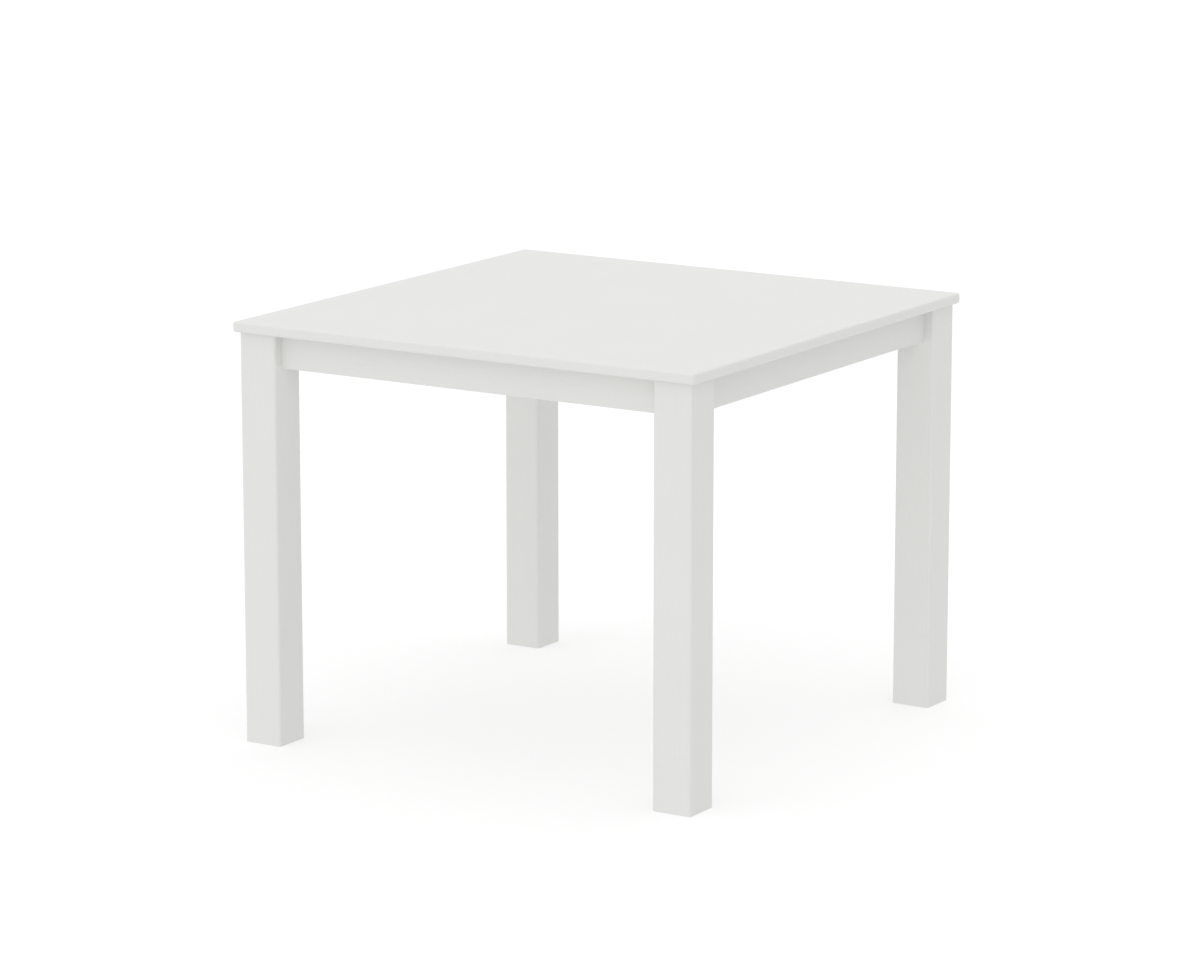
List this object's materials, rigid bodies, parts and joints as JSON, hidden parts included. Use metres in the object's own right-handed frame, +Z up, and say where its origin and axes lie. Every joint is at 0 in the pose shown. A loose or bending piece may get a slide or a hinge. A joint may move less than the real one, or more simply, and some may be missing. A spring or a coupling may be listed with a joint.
{
  "type": "parsons dining table",
  "caption": "Square white dining table: a sheet top with rounded edges on square post legs, tied by set-back aprons with cross rails and braced corners underneath.",
  "frame": {"origin": "on the floor under the middle of the top", "axes": "+Z up; X runs along the front edge to the right and Y from the front to the back; the table looks the same after a quarter turn but for its two cross rails, which run along Y"},
  "size_m": [0.914, 0.914, 0.738],
  "materials": {
    "white_lumber": "satin",
    "stainless_steel": "satin"
  },
  "bodies": {
    "root": {"apron_back": "white_lumber", "apron_front": "white_lumber", "apron_left": "white_lumber", "apron_right": "white_lumber", "brace_nuts_back_left": "stainless_steel", "brace_nuts_back_right": "stainless_steel", "brace_nuts_front_left": "stainless_steel", "brace_nuts_front_right": "stainless_steel", "brace_screws_back_left": "stainless_steel", "brace_screws_back_right": "stainless_steel", "brace_screws_front_left": "stainless_steel", "brace_screws_front_right": "stainless_steel", "brace_washers_back_left": "stainless_steel", "brace_washers_back_right": "stainless_steel", "brace_washers_front_left": "stainless_steel", "brace_washers_front_right": "stainless_steel", "corner_brace_back_left": "stainless_steel", "corner_brace_back_right": "stainless_steel", "corner_brace_front_left": "stainless_steel", "corner_brace_front_right": "stainless_steel", "cross_rail_left": "white_lumber", "cross_rail_right": "white_lumber", "hanger_bolts_back_left": "stainless_steel", "hanger_bolts_back_right": "stainless_steel", "hanger_bolts_front_left": "stainless_steel", "hanger_bolts_front_right": "stainless_steel", "leg_back_left": "white_lumber", "leg_back_right": "white_lumber", "leg_front_left": "white_lumber", "leg_front_right": "white_lumber", "rail_bracket_left_back": "stainless_steel", "rail_bracket_left_front": "stainless_steel", "rail_bracket_right_back": "stainless_steel", "rail_bracket_right_front": "stainless_steel", "rail_bracket_screws_left": "stainless_steel", "rail_bracket_screws_right": "stainless_steel", "rail_top_screws_left": "stainless_steel", "rail_top_screws_right": "stainless_steel", "tabletop": "white_lumber", "top_bracket_back_side_left": "stainless_steel", "top_bracket_back_side_right": "stainless_steel", "top_bracket_front_side_left": "stainless_steel", "top_bracket_front_side_right": "stainless_steel", "top_bracket_left_side_back": "stainless_steel", "top_bracket_left_side_front": "stainless_steel", "top_bracket_right_side_back": "stainless_steel", "top_bracket_right_side_front": "stainless_steel", "top_bracket_screws_back": "stainless_steel", "top_bracket_screws_front": "stainless_steel", "top_bracket_screws_left": "stainless_steel", "top_bracket_screws_right": "stainless_steel"}
  },
  "joints": []
}
